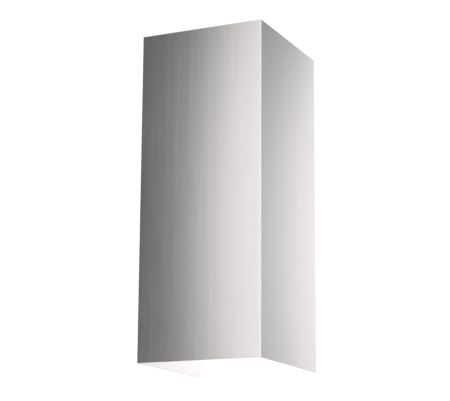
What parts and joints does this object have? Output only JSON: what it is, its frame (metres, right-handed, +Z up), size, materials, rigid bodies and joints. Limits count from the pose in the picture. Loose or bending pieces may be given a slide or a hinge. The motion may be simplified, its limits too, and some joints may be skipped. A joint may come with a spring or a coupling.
{
  "type": "cooker hood chimney section",
  "caption": "Tall three-sided chimney section of a wall-mounted cooker hood, folded from one brushed stainless steel sheet with inward returns along the wall. It hides the extraction duct.",
  "frame": {"origin": "middle of the footprint, on the bottom edge", "axes": "+Z up along the section, -Y out of the front, +Y towards the wall, +X to the right when facing the front with the wall behind it"},
  "size_m": [0.26, 0.28, 0.66],
  "materials": {
    "brushed_stainless": "fine brushed satin"
  },
  "bodies": {
    "root": {"chimney_shell": "brushed_stainless"}
  },
  "joints": []
}
